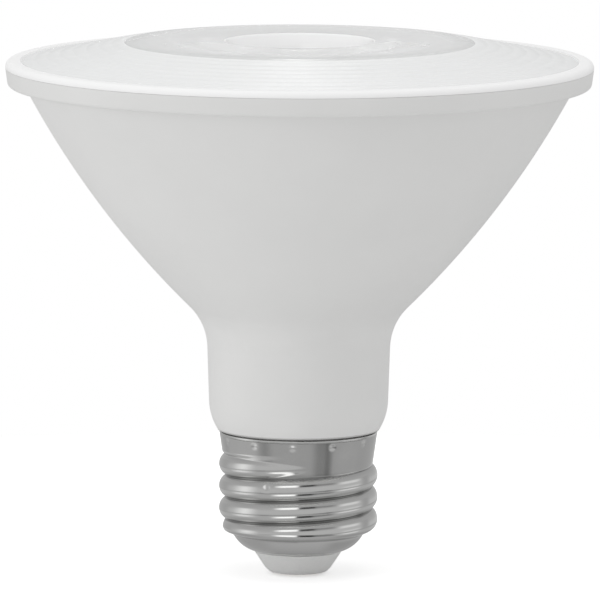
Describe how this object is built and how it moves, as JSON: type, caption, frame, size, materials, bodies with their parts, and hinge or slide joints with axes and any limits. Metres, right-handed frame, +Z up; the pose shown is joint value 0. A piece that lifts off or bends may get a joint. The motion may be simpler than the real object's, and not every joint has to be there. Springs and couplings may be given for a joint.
{
  "type": "par spotlight bulb",
  "caption": "Short-neck LED spotlight bulb with a flared white housing, a clear ringed lens with a middle optic, and a medium Edison screw base with its driver inside.",
  "frame": {"origin": "centre of the contact's flat end face, the lowest point of the base", "axes": "+Z up the lamp's axis from the base to the lens, -Y towards the side that the picture shows"},
  "size_m": [0.096, 0.096, 0.0878],
  "materials": {
    "clear_polycarbonate": "clear, glossy, fine moulded rings",
    "white_moulded_plastic": "fine satin moulding",
    "nickel_plated_sheet": "rolled and plated, bright",
    "white_insulator": "smooth moulding",
    "plated_contact": "turned and plated",
    "white_coated_aluminium": "spun, then coated white to send the light forward",
    "white_solder_mask": "satin white mask on an aluminium core",
    "alumina_carrier": "fired, matt",
    "phosphor_silicone": "smooth filled silicone",
    "zinc_plated_steel": "zinc plated",
    "tinned_pins": "tinned",
    "green_circuit_board": "green mask on glass-filled epoxy",
    "capacitor_sleeve": "shrunk sleeve",
    "grey_ferrite": "fired, matt",
    "winding_tape": "polyester tape over the wire",
    "film_capacitor_case": "dipped epoxy",
    "choke_ferrite": "fired, matt",
    "fuse_body": "cement coated",
    "black_epoxy": "moulded epoxy",
    "red_lead_insulation": "extruded insulation",
    "white_lead_insulation": "extruded insulation"
  },
  "bodies": {
    "root": {"lens": "clear_polycarbonate", "housing": "white_moulded_plastic", "screw_shell": "nickel_plated_sheet", "base_insulator": "white_insulator", "centre_contact": "plated_contact", "heat_sink": "white_coated_aluminium", "led_board": "white_solder_mask", "led_substrate": "alumina_carrier", "led_phosphor": "phosphor_silicone", "board_screws": "zinc_plated_steel", "led_pins": "tinned_pins", "driver_board": "green_circuit_board", "bulk_capacitor": "capacitor_sleeve", "transformer_core": "grey_ferrite", "transformer_winding": "winding_tape", "film_capacitor": "film_capacitor_case", "filter_choke": "choke_ferrite", "fuse_resistor": "fuse_body", "bridge_rectifier": "black_epoxy", "driver_chip": "black_epoxy", "live_lead": "red_lead_insulation", "neutral_lead": "white_lead_insulation"}
  },
  "joints": []
}
